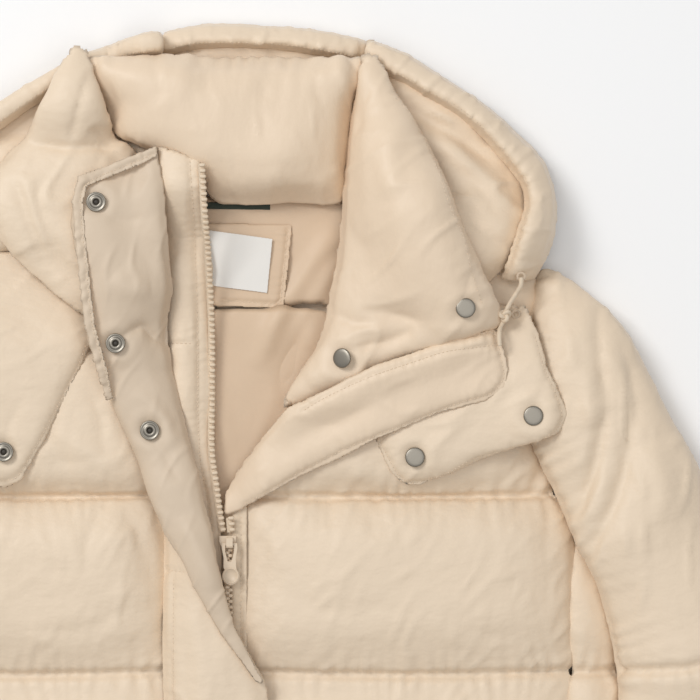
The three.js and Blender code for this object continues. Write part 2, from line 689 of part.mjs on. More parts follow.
// Slider, its bridge, and the pull tab that turns on the bridge about the X axis.
const SLIDER_LENGTH = 9;
const SLIDER_WIDTH = 12.4;
const SLIDER_HEIGHT = 4;
const SLIDER_X = -0.3;
const SLIDER_Y = -9.6;       // upper end, where the two rows of teeth meet
const PULL_X = 1.2;          // middle of the bridge and of the pull tab's upper end
const PULL_THICK = 2;
const BAR_Y = -15.7;         // middle of the pull tab's hinge bar
const BAR_HALF = 0.8;
const sliderCorners = [[-1, 0], [1, 0], [-1, -2], [1, -2]].map(([u, v]) => ({
  x: SLIDER_X + (u * SLIDER_WIDTH) / 2, y: SLIDER_Y + (v * SLIDER_LENGTH) / 2,
}));
const sliderBase = topUnder(sliderCorners, 0) + CLEAR;
const sliderTop = sliderBase + SLIDER_HEIGHT;
const extrude = (outline, depth) => new THREE.ExtrudeGeometry(outline, { depth, bevelEnabled: false, curveSegments: 8 });
const outlineOf = (points) => new THREE.Shape(points.map(([x, y]) => new THREE.Vector2(x, y)));
const sliderPlan = outlineOf([
  [-0.5, 0], [-0.5, -0.45], [-0.36, -1], [0.36, -1], [0.5, -0.45], [0.5, 0],
].map(([u, v]) => [SLIDER_X + u * SLIDER_WIDTH, SLIDER_Y + v * SLIDER_LENGTH]));
add('slider', extrude(sliderPlan, SLIDER_HEIGHT), PLASTIC).position.z = sliderBase;

const BRIDGE_WIDTH = 4.8;
const BRIDGE_LEG = 1.4;
const BRIDGE_CLEAR = 3.4;
const bridgeSide = outlineOf([
  [-10.6, 0], [-10.6, BRIDGE_CLEAR + 0.4], [-12, BRIDGE_CLEAR + BRIDGE_LEG], [-17.2, BRIDGE_CLEAR + BRIDGE_LEG],
  [-18.5, BRIDGE_CLEAR + 0.4], [-18.5, 0], [-18.5 + BRIDGE_LEG, 0], [-18.5 + BRIDGE_LEG, BRIDGE_CLEAR],
  [-12, BRIDGE_CLEAR], [-12, 0],
]);
const bridge = extrude(bridgeSide, BRIDGE_WIDTH);
bridge.rotateX(Math.PI / 2).rotateZ(Math.PI / 2);
bridge.computeBoundingBox();
add('slider_bridge', bridge, PLASTIC).position.set(PULL_X - BRIDGE_WIDTH / 2, 0, sliderTop + 0.1);

const DISC = { x: 2, y: -39.5, radius: 6.5 };
const pullPlan = new THREE.Shape();
pullPlan.moveTo(PULL_X - 5.6, BAR_Y + BAR_HALF);
pullPlan.lineTo(PULL_X - 5.9, BAR_Y - 3);
pullPlan.lineTo(PULL_X - 4.4, -26);
pullPlan.lineTo(PULL_X - 4.6, -33);
pullPlan.absarc(DISC.x, DISC.y, DISC.radius, 0.74 * Math.PI, 2.26 * Math.PI, false);
pullPlan.lineTo(PULL_X + 5, -33);
pullPlan.lineTo(PULL_X + 4.6, -26);
pullPlan.lineTo(PULL_X + 5.9, BAR_Y - 3);
pullPlan.lineTo(PULL_X + 5.6, BAR_Y + BAR_HALF);
const SLOT_HALF = 3.3;
pullPlan.holes.push(new THREE.Path([
  [-SLOT_HALF, BAR_Y - BAR_HALF], [SLOT_HALF, BAR_Y - BAR_HALF], [SLOT_HALF, -21.5], [1.4, -28.6], [-1.4, -28.6],
  [-SLOT_HALF, -21.5],
].map(([x, y]) => new THREE.Vector2(PULL_X + x, y))));
add('pull_tab', extrude(pullPlan, PULL_THICK), PLASTIC).position.z = sliderTop + 0.5;

jacket.updateMatrixWorld(true);
export default jacket;
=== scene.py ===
"""Hooded down jacket laid open on its back: the finish of every panel, seam and fastening.

Metres, in the model's own frame: the floor is z = 0, +Y runs to the hood, the front zip lies along X = 0.
"""
import json
import math
import bmesh
import bpy
import numpy as np
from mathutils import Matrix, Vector
from mathutils.bvhtree import BVHTree


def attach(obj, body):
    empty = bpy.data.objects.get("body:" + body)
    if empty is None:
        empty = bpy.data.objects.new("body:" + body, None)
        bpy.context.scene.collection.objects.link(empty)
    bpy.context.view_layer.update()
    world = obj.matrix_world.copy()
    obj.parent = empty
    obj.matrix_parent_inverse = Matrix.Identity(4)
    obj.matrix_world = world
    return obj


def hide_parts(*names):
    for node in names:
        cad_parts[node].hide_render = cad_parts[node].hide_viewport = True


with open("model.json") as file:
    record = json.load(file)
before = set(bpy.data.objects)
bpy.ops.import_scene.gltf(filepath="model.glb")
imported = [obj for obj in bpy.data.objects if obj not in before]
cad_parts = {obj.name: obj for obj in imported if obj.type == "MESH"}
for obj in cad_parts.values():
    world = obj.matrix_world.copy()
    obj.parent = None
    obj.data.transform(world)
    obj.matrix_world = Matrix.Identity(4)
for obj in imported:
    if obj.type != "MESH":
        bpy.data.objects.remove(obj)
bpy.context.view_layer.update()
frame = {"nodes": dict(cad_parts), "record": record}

# ---------------------------------------------------------------------------------------------
# Camera, floor and light. The jacket is seen from straight above, in soft light from the upper
# left, on a plain pale floor that only shows its soft shadow.
VIEW_CENTRE = (0.0915, 0.130)
CLOTH_LEVEL = 0.04
CAMERA_RISE = 2.4
VIEW_WIDTH = 0.525
SENSOR = 36.0

camera_data = bpy.data.cameras.new("camera")
camera_data.sensor_width = SENSOR
camera_data.lens = SENSOR * CAMERA_RISE / VIEW_WIDTH
camera = bpy.data.objects.new("camera", camera_data)
camera.location = (*VIEW_CENTRE, CLOTH_LEVEL + CAMERA_RISE)
bpy.context.scene.collection.objects.link(camera)
bpy.context.scene.camera = camera
bpy.context.scene.view_settings.view_transform = "Standard"


def area_light(name, place, aim, size, watts):
    """A square soft light at `place` that faces `aim`."""
    data = bpy.data.lights.new(name, "AREA")
    data.size = size
    data.energy = watts
    lamp = bpy.data.objects.new(name, data)
    lamp.location = place
    direction = np.subtract(aim, place)
    lamp.rotation_euler = Vector(direction).to_track_quat("-Z", "Y").to_euler()
    bpy.context.scene.collection.objects.link(lamp)


AIM = (0.05, 0.05, 0.0)
area_light("key", (-1.75, 1.6, 2.7), AIM, 1.3, 56)
area_light("top", (0.3, 0.1, 2.9), AIM, 2.4, 20)

world = bpy.data.worlds.new("studio")
world.use_nodes = True
world.node_tree.nodes["Background"].inputs["Color"].default_value = (1, 1, 1, 1)
world.node_tree.nodes["Background"].inputs["Strength"].default_value = 0.44
bpy.context.scene.world = world


def principled(name, colour, roughness):
    """A new material with its surface shader's plain values set."""
    material = bpy.data.materials.new(name)
    material.use_nodes = True
    shader = material.node_tree.nodes["Principled BSDF"]
    shader.inputs["Base Color"].default_value = (*colour, 1)
    shader.inputs["Roughness"].default_value = roughness
    return material, shader


FLOOR_HALF = 4.0
floor_mesh = bpy.data.meshes.new("floor")
corners = [(-FLOOR_HALF, -FLOOR_HALF, 0), (FLOOR_HALF, -FLOOR_HALF, 0),
           (FLOOR_HALF, FLOOR_HALF, 0), (-FLOOR_HALF, FLOOR_HALF, 0)]
floor_mesh.from_pydata(corners, [], [(0, 1, 2, 3)])
floor = bpy.data.objects.new("floor", floor_mesh)
bpy.context.scene.collection.objects.link(floor)
floor_material, _ = principled("pale_floor", (0.96, 0.96, 0.96), 0.9)
floor_mesh.materials.append(floor_material)

# ---------------------------------------------------------------------------------------------
# Drawcord: a soft round cord that leaves the hood's channel at an eyelet, is tied in a knot, and
# ends free just past it. It is a swept tube with a braided surface.
CORD_RADIUS = 0.00175


def smooth_path(points, count):
    """Points spread along a smooth curve through `points`: a Catmull-Rom spline, evaluated in arrays."""
    p = np.asarray(points, float)
    p = np.vstack([2 * p[0] - p[1], p, 2 * p[-1] - p[-2]])
    s = np.linspace(0, len(p) - 3, count)
    k = np.minimum(s.astype(int), len(p) - 4)
    t = (s - k)[:, None]
    a, b, c, d = p[k], p[k + 1], p[k + 2], p[k + 3]
    return 0.5 * (2 * b + (c - a) * t + (2 * a - 5 * b + 4 * c - d) * t**2 + (3 * b - a - 3 * c + d) * t**3)


def evenly(points, pitch):
    """Points `pitch` apart along a smooth curve through `points`."""
    path = smooth_path(points, 40 * len(points))
    way = np.concatenate([[0], np.cumsum(np.linalg.norm(np.diff(path, axis=0), axis=1))])
    steps = np.arange(pitch / 2, way[-1], pitch)
    return np.stack([np.interp(steps, way, column) for column in path.T], -1)


def grid_faces(rows, columns, closed_round=False, capped=False):
    """The faces of a grid of points, row after row. Caps close its first and last rows."""
    i = np.arange(rows - 1)[:, None]
    j = np.arange(columns if closed_round else columns - 1)[None, :]
    beside = (j + 1) % columns
    corners = [i * columns + j, i * columns + beside, (i + 1) * columns + beside, (i + 1) * columns + j]
    faces = np.stack(corners, -1).reshape(-1, 4).tolist()
    if capped:
        faces.append(list(range(columns))[::-1])
        faces.append(list(range((rows - 1) * columns, rows * columns)))
    return faces


def outward_mesh(name, points, faces):
    """A smooth-shaded mesh whose faces are turned outwards."""
    mesh = bpy.data.meshes.new(name)
    mesh.from_pydata(points.reshape(-1, 3).tolist(), [], faces)
    edit = bmesh.new()
    edit.from_mesh(mesh)
    bmesh.ops.recalc_face_normals(edit, faces=edit.faces)
    edit.to_mesh(mesh)
    edit.free()
    mesh.shade_smooth()
    return mesh


def grid_mesh(name, points, closed_round=False, capped=False):
    """A mesh from a (rows, columns, 3) grid of points; it may close on itself round the columns."""
    return outward_mesh(name, points, grid_faces(*points.shape[:2], closed_round, capped))


def place(name, mesh, material, slot, body="jacket"):
    """Links a finished piece at the origin, with its material and the body it moves with. `slot` is not used."""
    piece = bpy.data.objects.new(name, mesh)
    bpy.context.scene.collection.objects.link(piece)
    mesh.materials.clear()
    mesh.materials.append(material)
    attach(piece, body)
    return piece


def tube_points(path, radius, sides=12):
    """Rings of `sides` points round each point of the path, at right angles to it."""
    along = np.gradient(path, axis=0)
    along /= np.linalg.norm(along, axis=1, keepdims=True)
    across = np.cross(along, (0, 0, 1.0))
    across /= np.linalg.norm(across, axis=1, keepdims=True)
    up = np.cross(across, along)
    turn = np.linspace(0, 2 * math.pi, sides, endpoint=False)
    ring = np.cos(turn)[None, :, None] * across[:, None] + np.sin(turn)[None, :, None] * up[:, None]
    return path[:, None] + np.reshape(radius, (-1, 1, 1)) * ring


def bumped(material, shader, layers):
    """Adds noise bumps in the object's own coordinates. Each layer is (scale, strength, height, stretch)."""
    tree = material.node_tree
    coordinates = tree.nodes.new("ShaderNodeTexCoord")
    last = None
    for scale, strength, height, stretch in layers:
        turn = tree.nodes.new("ShaderNodeMapping")
        turn.inputs["Scale"].default_value = stretch
        tree.links.new(coordinates.outputs["Object"], turn.inputs["Vector"])
        noise = tree.nodes.new("ShaderNodeTexNoise")
        noise.inputs["Scale"].default_value = scale
        noise.inputs["Detail"].default_value = 4.0
        tree.links.new(turn.outputs["Vector"], noise.inputs["Vector"])
        bump = tree.nodes.new("ShaderNodeBump")
        bump.inputs["Strength"].default_value = strength
        bump.inputs["Distance"].default_value = height
        tree.links.new(noise.outputs["Fac"], bump.inputs["Height"])
        if last is not None:
            tree.links.new(last.outputs["Normal"], bump.inputs["Normal"])
        last = bump
    tree.links.new(last.outputs["Normal"], shader.inputs["Normal"])


cord_finish, cord_shader = principled("braided_cord", (0.74, 0.61, 0.46), 0.75)
bumped(cord_finish, cord_shader, [(2600, 0.5, 0.0004, (1, 1, 1))])
MM = 0.001
CORD_ROUTE = np.array([
    (219.5, 184, 49.8), (219.4, 181, 50.1), (219, 178, 49.7), (217.4, 175, 48), (215.6, 172, 46.6),
    (213.6, 169, 47.8), (211.5, 166, 49.8), (209.8, 163, 51.6), (208.3, 160.1, 52.8), (207.2, 157.5, 54),
    (206.6, 154.5, 54), (205.4, 150.6, 52.6), (203.9, 147.6, 53.4), (202.8, 144, 57), (202.5, 141, 60.2),
    (202.6, 137, 60.8), (203, 133, 60.8),
]) * MM
cord_path = smooth_path(CORD_ROUTE, 60)
cord_rings = tube_points(cord_path, np.full(len(cord_path), CORD_RADIUS))
cord = place("hood_drawcord", grid_mesh("hood_drawcord", cord_rings, True, True), cord_finish, "cord")
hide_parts("drawcord_right", "drawcord_end")

KNOT_CENTRE = np.array([206.8, 155.7, 54.9]) * MM
KNOT_SIZE = 1.3 * MM
turn = np.linspace(0, 2 * math.pi, 73)[:-1]
trefoil = np.stack([np.sin(turn) + 2 * np.sin(2 * turn), np.cos(turn) - 2 * np.cos(2 * turn),
                    -1.2 * np.sin(3 * turn)], -1)
knot_path = KNOT_CENTRE + KNOT_SIZE * trefoil
knot_path = np.vstack([knot_path, knot_path[:1]])
knot_rings = tube_points(knot_path, np.full(len(knot_path), 1.65 * MM))
knot = place("hood_drawcord_knot", grid_mesh("knot", knot_rings, True, True), cord_finish, "cord")
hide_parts("drawcord_knot")

# ---------------------------------------------------------------------------------------------
# Body: back, fronts and side panels. Shell cloth over down, sewn through in level rows; each row
# of stitches pulls the cloth into a groove with small uneven puckers.
shell, shell_shader = principled("shell_cloth", (0.80, 0.652, 0.49), 0.52)
shell_shader.inputs["Sheen Weight"].default_value = 0.12
shell_shader.inputs["Sheen Roughness"].default_value = 0.4
bumped(shell, shell_shader, [(40, 0.4, 0.004, (1, 1.6, 1)), (110, 0.3, 0.0012, (1, 1, 1)),
                             (3200, 0.18, 0.00012, (1, 1, 1))])

# Rows of stitches on each node's cloth, in plan. Each row is a list of (x, y) in millimetres.
STITCHES = {
    "guard_strip": [
        [(200, 143), (169.5, 139), (143, 131), (106.5, 119), (80, 107.5), (56, 91)],
        [(202, 134), (164, 129), (143, 122.5), (106.5, 110), (75, 95.5), (56, 84.5)],
        [(200, 141), (203, 128), (206, 114), (205, 107), (199, 99.5), (192, 96), (170, 89.5), (148, 80.5),
         (117, 68.5), (85.5, 55), (54, 38.5), (30, 24), (12, 14)],
    ],
    "collar_right": [[(122, 321), (135, 308), (148, 286), (157.5, 260), (164, 240), (170.5, 224), (176, 212),
                      (180.5, 191), (185, 177), (189, 165)]],
    "zip_strip_left": [
        [(-28, 272), (-26, 242), (-25, 205), (-23.5, 160), (-23, 120), (-23, 80), (-21, 45), (-16, 18), (-12, -5)],
        [(-43, 135), (-29, 135)],
    ],
    "storm_flap_lower": [[(-41, -41), (-41, -114), (-41, -247), (-41, -381), (-41, -488)], [(-47, -36), (-32, -36)]],
    "flap_binding": [[(-56, 275.5), (-68, 270), (-94, 259.5), (-106, 251), (-108.5, 240), (-106.5, 213), (-102.5, 175),
                      (-99.5, 148), (-90.5, 114), (-87.5, 99)]],
    "hood_rim_back": [[(-46, 357), (-21, 361.5), (39, 360.5), (91, 352.5), (99, 350.5)]],
    "hood_rim_right": [[(108, 347), (129, 336.5), (151, 323.5), (173.5, 311.5), (192, 295), (210, 274.5), (223.5, 257.5),
                        (226.5, 240), (221.5, 223), (214.5, 202.5), (209, 187)]],
    "hood_rim_left": [[(-54, 355.5), (-76.5, 351.5), (-104.5, 341.5), (-132.5, 327.5), (-171, 301), (-201.5, 274.5),
                       (-219.5, 250), (-229, 226)]],
    "hood_tab_right": [[(114.5, 60.5), (127.5, 35.5), (133.5, 30), (148, 32), (165.5, 38.5), (184.5, 49), (208, 54.5),
                        (229, 61), (244.5, 70), (249.5, 80), (246, 94), (235.5, 118.5), (229.5, 142)]],
    "hood_tab_left": [[(-106, 134), (-114, 114), (-122.5, 97), (-135, 73), (-144, 57), (-149, 48), (-158, 35),
                       (-168, 32), (-182, 32.5), (-201, 42), (-237, 59), (-267, 75), (-280, 91), (-279, 106)]],
    "neck_facing": [[(44.5, 221), (39, 165)], [(38, 164.8), (-4, 167.3)]],
    "zip_tape": [[(9.5, 5), (9.5, -114), (9.5, -247), (9.5, -381), (9.5, -486)]],
}


def ripple(x, y, size, seed):
    """Smooth uneven swells about `size` long: a sum of sine waves in seeded directions, from -1 to 1."""
    waves = np.random.default_rng(seed)
    total = np.zeros_like(x)
    for _ in range(7):
        heading = waves.uniform(0, math.pi)
        pace = 2 * math.pi / (size * waves.uniform(0.7, 1.6))
        total += np.sin(pace * (x * math.cos(heading) + y * math.sin(heading)) + waves.uniform(0, 6.3))
    return total / 4


def creases(x, y, size, seed, lean=0.0, stretch=2.5):
    """Thin ridges that wander and break off: a bell round the places where stretched swells cross zero.

    `lean` turns them, in radians from +X, and `stretch` makes them longer than they are apart.
    """
    along = (x * math.cos(lean) + y * math.sin(lean)) / stretch
    across = y * math.cos(lean) - x * math.sin(lean)
    ridges = np.exp(-((ripple(along, across, size, seed) / 0.22) ** 2))
    return ridges * np.clip(0.35 + 0.65 * ripple(x, y, 1.5 * size, seed + 50), 0, 1)


def from_line(x, y, line):
    """Distance from a line of straight stretches, the way along it, its length, and the side."""
    line = np.asarray(line, float)
    start, end = line[:-1], line[1:]
    step = end - start
    long = np.linalg.norm(step, axis=1)
    dx, dy = x[:, None] - start[:, 0], y[:, None] - start[:, 1]
    share = np.clip((dx * step[:, 0] + dy * step[:, 1]) / long**2, 0, 1)
    gap = np.hypot(dx - share * step[:, 0], dy - share * step[:, 1])
    near = gap.argmin(axis=1)
    rows = np.arange(len(x))
    reach = np.concatenate([[0], np.cumsum(long)[:-1]])
    way = reach[near] + share[rows, near] * long[near]
    side = np.sign(dx[rows, near] * step[near, 1] - dy[rows, near] * step[near, 0])
    return gap[rows, near], way, long.sum(), side


def fold(x, y, line, width, height):
    """A ridge along a line, round like a bell, or a trough with a sharp bottom if height is negative.

    It fades at both ends. Points and sizes are in millimetres.
    """
    gap, way, total, _ = from_line(x, y, smooth_path(np.array(line) * MM, 24))
    gap = gap / (width * MM)
    across = np.exp(-(gap**2)) if height > 0 else np.exp(0.3 - np.sqrt(gap**2 + 0.09) * 1.4)
    fade = np.clip(np.minimum(way, total - way) / (0.35 * total), 0, 1)
    return height * MM * across * fade * (2 - fade)


def folds(x, y, table):
    """Several folds together. Each row of the table is (line, width, height)."""
    return sum(fold(x, y, *row) for row in table)


def sewn(x, y, line, groove, width, pucker, pitch, reach, seed=1):
    """A row of stitches: a groove along the line, and puckers that run away from it and die out."""
    gap, way, _, side = from_line(x, y, line)
    drift = 0.7 * ripple(way, side * 0.02, 5 * pitch, seed)
    drift += 0.35 * gap / pitch * ripple(way, way, 9 * pitch, seed + 9)
    uneven = np.clip(0.55 + 0.6 * ripple(way, side * 0.05, 4 * pitch, seed + 5), 0, 1.3)
    wave = uneven * np.sin(2 * math.pi * (way / pitch + drift))
    away = np.exp(-gap / reach) * (1 - np.exp(-gap / (0.3 * width)))
    return pucker * wave * away - groove * np.exp(-((gap / width) ** 2))


cloth = {}
SNAPS = np.array([(177, 161), (86, 124), (140, 50), (228, 81), (-97, 240), (-83, 135), (-58, 70), (-167, 54),
                  (-252, 88)]) * MM


def dimples(x, y):
    """The cloth is pressed in under each snap, and a low ring of it stands up round the snap."""
    far = np.hypot(x[:, None] - SNAPS[:, 0], y[:, None] - SNAPS[:, 1]).min(axis=1) / (9 * MM)
    return (0.8 * np.exp(-((far - 1.5) ** 2) * 4) - 1.6 * np.exp(-(far**4))) * MM




def pillow(node, voxel, shape, material=shell, slot="shell", swell=0.003, calm=60, grow=0.0012,
           smooth=3):
    """A padded panel: the node's solid in fine even faces, its heights evened out, then swelled and shaped.

    shape(x, y) gives how far the upper cloth stands out, in metres, over the whole panel at once. The
    sides move out by `grow`, so that two panels meet at their seam.
    """
    copy = frame["nodes"][node].data.copy()
    edit = bmesh.new()
    edit.from_mesh(copy)
    bmesh.ops.remove_doubles(edit, verts=edit.verts, dist=1e-5)
    edit.to_mesh(copy)
    edit.free()
    holder = bpy.data.objects.new(node + "_source", copy)
    bpy.context.scene.collection.objects.link(holder)
    remesh = holder.modifiers.new("even", "REMESH")
    remesh.mode = "VOXEL"
    remesh.voxel_size = voxel
    even = holder.evaluated_get(bpy.context.evaluated_depsgraph_get())
    mesh = bpy.data.meshes.new_from_object(even)
    mesh.name = node + "_cloth"
    bpy.data.objects.remove(holder)
    points = np.empty(len(mesh.vertices) * 3)
    mesh.vertices.foreach_get("co", points)
    points = points.reshape(-1, 3)
    ends = np.empty(len(mesh.edges) * 2, int)
    mesh.edges.foreach_get("vertices", ends)
    a, b = ends.reshape(-1, 2).T
    count = np.bincount(a, minlength=len(points)) + np.bincount(b, minlength=len(points))

    def evened(values):
        total = np.bincount(a, values[b], len(points)) + np.bincount(b, values[a], len(points))
        return total / count

    for _ in range(calm):
        points[:, 2] = 0.5 * points[:, 2] + 0.5 * evened(points[:, 2])
    for _ in range(smooth):
        points[:, 0] = 0.5 * points[:, 0] + 0.5 * evened(points[:, 0])
        points[:, 1] = 0.5 * points[:, 1] + 0.5 * evened(points[:, 1])
    mesh.vertices.foreach_set("co", points.ravel())
    mesh.update()
    normal = np.empty(len(points) * 3)
    mesh.vertex_normals.foreach_get("vector", normal)
    normal = normal.reshape(-1, 3)
    upper = np.clip((normal[:, 2] + 0.15) / 0.6, 0, 1)
    x, y = points[:, 0], points[:, 1]
    lift = swell + shape(x, y)
    if node in ("collar_right", "hood_tab_right", "hood_tab_left", "storm_flap_open"):
        lift = lift + dimples(x, y)
    for count, row in enumerate(STITCHES.get(node, [])):
        lift = lift + sewn(x, y, np.array(row) * MM, 0.0011, 0.002, 0.0006, 0.007, 0.005, 300 + count)
    points += normal * (lift * upper)[:, None]
    points[:, :2] += grow * normal[:, :2]
    points[:, 2] = np.maximum(points[:, 2], 0.0)
    mesh.vertices.foreach_set("co", points.ravel())
    mesh.update()
    mesh.shade_smooth()
    piece = place(mesh.name, mesh, material, slot)
    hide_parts(node)
    cloth[node] = piece


CHEST_SEAM = 20 * MM
BAFFLE = 133 * MM
ROWS = [CHEST_SEAM - k * BAFFLE for k in range(4)]
FINE = 0.003
COARSE = 0.006
THIN = 0.0015
TRIM = 0.0008


def quilted(x, y, left, right, seed):
    """All the level rows of stitches between two sides of a panel, with broad soft swells between."""
    total = 0.0015 * ripple(x, y, 0.09, seed) + 0.0016 * creases(x, y, 0.024, seed + 3, 1.2)
    for k, row in enumerate(ROWS):
        line = [(left, row), ((left + right) / 2, row - 0.002), (right, row)]
        total = total + sewn(x, y, line, 0.0055, 0.004, 0.002, 0.011, 0.014, seed + k)
    return total


# Folds of the fronts: pulls towards the flap on the left front, and the yoke's pulls on the right.
FRONT_FOLDS = {
    "front_left": [([(-160, 92), (-136, 64), (-110, 30)], 6, -2.5), ([(-104, 104), (-96, 76), (-92, 44)], 6, -2.5),
                   ([(-72, -60), (-100, -76), (-140, -80)], 8, -2), ([(-90, 16), (-104, -10), (-108, -40)], 6, -2),
                   ([(-90, 88), (-72, 60), (-56, 36)], 6, -3), ([(-128, 70), (-96, 48), (-66, 26)], 8, 2),
                   ([(-80, 10), (-66, -20), (-60, -52)], 7, -2), ([(-150, 30), (-120, 40), (-86, 34)], 7, 1.5)],
    "front_right": [([(66, 30), (74, 12), (76, -8)], 5, -2), ([(112, 26), (108, 6), (112, -14)], 5, -1.8),
                    ([(190, 40), (184, 22), (186, 2)], 5, -2), ([(40, -50), (80, -66), (130, -60)], 9, -2),
                    ([(160, -70), (200, -84), (240, -78)], 9, -2), ([(218, 52), (206, 34), (200, 12)], 5, -2),
                    ([(60, 40), (90, 44), (120, 32)], 8, 2), ([(236, 44), (222, 20), (214, -6)], 7, -2.5),
                    ([(246, 22), (238, -6), (236, -30)], 6, -2), ([(20, 8), (34, -10), (40, -36)], 6, 1.5)],
}
# Columns: node, left and right side of its quilting, size of its faces, swell.
BODY = [
    ("back_panel", -0.3, 0.3, COARSE, -0.003),
    ("front_left", -0.26, -0.05, FINE, 0.003),
    ("front_right", 0.004, 0.26, FINE, 0.003),
    ("side_panel_left", -0.296, -0.26, FINE, 0.003),
    ("side_panel_right", 0.26, 0.296, FINE, 0.003),
]
for seed, (node, left, right, voxel, swell) in enumerate(BODY, start=20):
    own = FRONT_FOLDS.get(node, [])
    pillow(node, voxel, lambda x, y: quilted(x, y, left, right, seed) + folds(x, y, own), swell=swell, grow=0.003)

# ---------------------------------------------------------------------------------------------
# Sleeves: wide padded tubes, flattened as they lie, gathered into the armhole. Long creases run
# down from the shoulder, and the armhole's stitches gather the cloth.
SLEEVE_FOLDS = [
    ([(274, 160), (277, 134), (280, 108), (284, 88)], 6, -5),
    ([(285, 92), (280, 70), (275, 45), (268, 20), (263, 2)], 6, -6),
    ([(291, 132), (300, 112), (305, 84), (304, 66)], 6, -3.5),
    ([(298, 90), (300, 66), (296, 38), (288, 12), (278, -10), (276, -34)], 7, -6.5),
    ([(312, 60), (322, 30), (326, 0)], 9, 3),
    ([(268, 120), (270, 96), (270, 70)], 8, 3),
    ([(284, 40), (276, 12), (270, -8)], 7, 3),
]
ARMHOLE = np.array([(236, 188), (231, 160), (227, 125), (227, 95), (231, 60), (247, 25), (261, -8), (276, -36),
                    (284, -62), (292, -94), (297, -134)]) * MM
SLEEVE_ROWS = [np.array([(294, -110), (340, -107), (430, -90)]) * MM, np.array([(304, -245), (440, -225)]) * MM]


def sleeve_shape(x, y, sign, seed):
    """The creases, the gathers along the armhole, and the two rows of quilting, mirrored by `sign`."""
    across = sign * x
    total = folds(across, y, SLEEVE_FOLDS) + 0.002 * ripple(x, y, 0.08, seed)
    total += 0.0024 * creases(across, y, 0.03, seed, 1.45) * np.clip((y + 0.15) / 0.15, 0.3, 1)
    total += sewn(across, y, ARMHOLE, 0.003, 0.004, 0.0022, 0.012, 0.016, seed + 1)
    for row in SLEEVE_ROWS:
        total += sewn(across, y, row, 0.0055, 0.004, 0.002, 0.011, 0.014, seed)
    return total


for side, sign, seed in (("left", -1, 41), ("right", 1, 42)):
    pillow(f"sleeve_{side}", FINE, lambda x, y: sleeve_shape(x, y, sign, seed), grow=0.003)

# ---------------------------------------------------------------------------------------------
# Hood: padded inner panels behind the collar and the channel round its rim, stitched along both
# edges, with a drawcord inside that gathers it.
HOOD_RIGHT_FOLDS = [
    ([(112, 337), (150, 314), (195, 290)], 8, 6), ([(154, 293), (185, 263), (213, 236)], 8, 6),
    ([(130, 318), (162, 296), (200, 268)], 7, -6), ([(120, 290), (148, 262), (176, 240)], 8, -5),
    ([(175, 230), (196, 214), (216, 206)], 5, -4), ([(185, 250), (206, 236), (222, 228)], 5, 3),
]
HOOD_LEFT_FOLDS = [([(-170, 290), (-150, 294), (-120, 300)], 6, -4), ([(-176, 262), (-150, 276), (-128, 290)], 8, 5),
                   ([(-200, 240), (-170, 246), (-145, 262)], 7, -4)]
HOOD_BACK_FOLDS = [([(-50, 352), (0, 356), (60, 352)], 6, 3.5), ([(-40, 347), (10, 350), (50, 347)], 4, -3)]


def rumpled(table, height, size, seed, lean=0.0):
    """A shape made of a table of folds over small wandering creases."""
    return lambda x, y: folds(x, y, table) + height * creases(x, y, size, seed, lean) + 0.0015 * ripple(x, y, 0.06, seed)


pillow("hood_back", COARSE, rumpled(HOOD_BACK_FOLDS, 0.0032, 0.02, 62))
pillow("hood_right", FINE, rumpled(HOOD_RIGHT_FOLDS, 0.0036, 0.028, 61, -0.6), grow=0.002)
pillow("hood_left", FINE, rumpled(HOOD_LEFT_FOLDS, 0.0034, 0.028, 63, 0.5), grow=0.002)
for side, lean, seed in (("back", 1.4, 64), ("right", 0.9, 65), ("left", 2.1, 66)):
    pillow(f"hood_rim_{side}", 0.0022, rumpled([([(0, 0), (1, 1)], 1, 0.01)], 0.0018, 0.014, seed, lean),
           swell=0.001, calm=16, grow=0.0015)
TAB_FOLDS = {"right": [([(142, 52), (168, 76), (196, 100), (222, 122)], 9, 2), ([(228, 82), (236, 104), (238, 118)], 5, -1.5),
                       ([(140, 50), (150, 66), (166, 72)], 5, -1.5)],
             "left": [([(-262, 160), (-220, 130), (-180, 100)], 10, 2), ([(-170, 54), (-160, 80), (-150, 96)], 6, -1.5)]}
for side, seed in (("right", 67), ("left", 68)):
    pillow(f"hood_tab_{side}", 0.002, rumpled(TAB_FOLDS[side], 0.0012, 0.028, seed, 0.7), swell=0.001, calm=30)

# ---------------------------------------------------------------------------------------------
# Collar: a thick soft stand. Its back lies inner face up, its left front rolls down to the flap,
# and its right front is turned out. The neck lining and its facing show between them.
lining, lining_shader = principled("lining_cloth", (0.80, 0.64, 0.475), 0.5)
lining_shader.inputs["Sheen Weight"].default_value = 0.1
bumped(lining, lining_shader, [(45, 0.35, 0.003, (1.5, 1, 1)), (110, 0.25, 0.001, (1, 1, 1)),
                               (3200, 0.15, 0.0001, (1, 1, 1))])
# The neck lining and its facing: the lining colour painted darker, as painted shade for the hollow of the neck.
lining_painted_shade, lining_painted_shade_shader = principled("neck_lining_cloth", (0.68, 0.51, 0.355), 0.5)
bumped(lining_painted_shade, lining_painted_shade_shader, [(45, 0.3, 0.003, (1, 1, 1)), (3200, 0.15, 0.0001, (1, 1, 1))])
COLLAR_TOP = np.array([(-104, 349), (0, 352), (103, 350)]) * MM
COLLAR_BACK_FOLDS = [([(-92, 340), (-84, 318), (-80, 300)], 5, -2.5), ([(-60, 346), (-52, 328), (-50, 312)], 5, -2),
                     ([(-20, 347), (-16, 330), (-18, 318)], 5, -1.8), ([(30, 347), (26, 330), (28, 314)], 5, -2),
                     ([(70, 345), (66, 328), (68, 312)], 5, -1.8), ([(-70, 262), (-20, 256), (40, 256)], 8, 2)]
